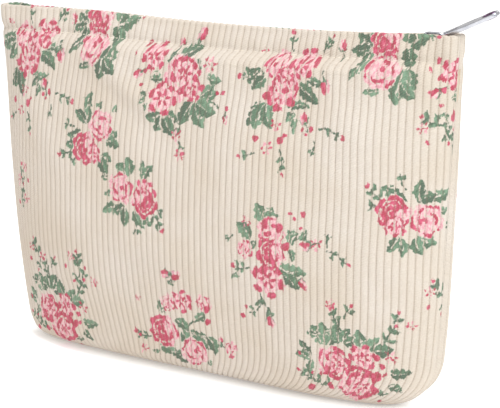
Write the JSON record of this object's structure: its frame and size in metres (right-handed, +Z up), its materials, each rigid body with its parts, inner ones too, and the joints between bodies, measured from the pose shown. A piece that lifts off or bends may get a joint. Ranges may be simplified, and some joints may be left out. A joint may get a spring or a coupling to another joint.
{
  "type": "makeup bag",
  "caption": "Soft padded corduroy pouch with a floral print, a boxed base and a zip along the top, with a slider and a long bar puller.",
  "frame": {"origin": "middle of the flat underside that the bag stands on", "axes": "+Z up, +X along the bag's length towards the end where the closed slider stands, -Y out of the front face"},
  "size_m": [0.2589, 0.0546, 0.1706],
  "materials": {
    "corduroy": "wide-wale cotton corduroy, cream, printed with rose sprays",
    "wadding": "white polyester wadding",
    "lining": "plain beige cotton lining",
    "zip_tape": "woven beige-brown zip tape",
    "zip_coil": "beige nylon coil",
    "thread": "cream sewing thread",
    "zip_metal": "polished silver-coloured plating"
  },
  "bodies": {
    "root": {"base_outer_panel": "corduroy", "base_wadding": "wadding", "base_lining": "lining", "left_side_binding": "lining", "right_side_binding": "lining", "left_corner_binding": "lining", "right_corner_binding": "lining", "zip_bottom_stop": "zip_metal"},
    "front_wall": {"front_outer_panel": "corduroy", "front_wadding": "wadding", "front_lining": "lining", "front_zip_tape": "zip_tape", "front_zip_coil": "zip_coil", "front_rim_topstitch": "thread", "front_top_stop": "zip_metal"},
    "back_wall": {"back_outer_panel": "corduroy", "back_wadding": "wadding", "back_lining": "lining", "back_zip_tape": "zip_tape", "back_zip_coil": "zip_coil", "back_rim_topstitch": "thread", "back_top_stop": "zip_metal"},
    "slider": {"slider_body": "zip_metal", "slider_bail": "zip_metal"},
    "puller": {"zip_puller": "zip_metal"}
  },
  "joints": [
    {"name": "slider_travel", "type": "slide", "parent": "root", "child": "slider", "axis": [1, 0, 0], "range_m": [-0.206, 0], "deforming": ["front_zip_coil", "back_zip_coil", "front_zip_tape", "back_zip_tape"]},
    {"name": "puller_swing", "type": "hinge", "parent": "slider", "child": "puller", "pos_m": [0.11, 0, 0.1581], "axis": [0, 1, 0], "range_deg": [-145, 3]},
    {"name": "front_wall_opens", "type": "hinge", "parent": "root", "child": "front_wall", "pos_m": [0, -0.0175, 0.003], "axis": [1, 0, 0], "range_deg": [0, 11], "deforming": ["front_zip_coil", "front_zip_tape"]},
    {"name": "back_wall_opens", "type": "hinge", "parent": "root", "child": "back_wall", "pos_m": [0, 0.0175, 0.003], "axis": [1, 0, 0], "range_deg": [-11, 0], "deforming": ["back_zip_coil", "back_zip_tape"]}
  ],
  "couplings": [
    {"joint": "front_wall_opens", "follows": "slider_travel", "rad_per_m": -0.9319},
    {"joint": "back_wall_opens", "follows": "slider_travel", "rad_per_m": 0.9319}
  ]
}
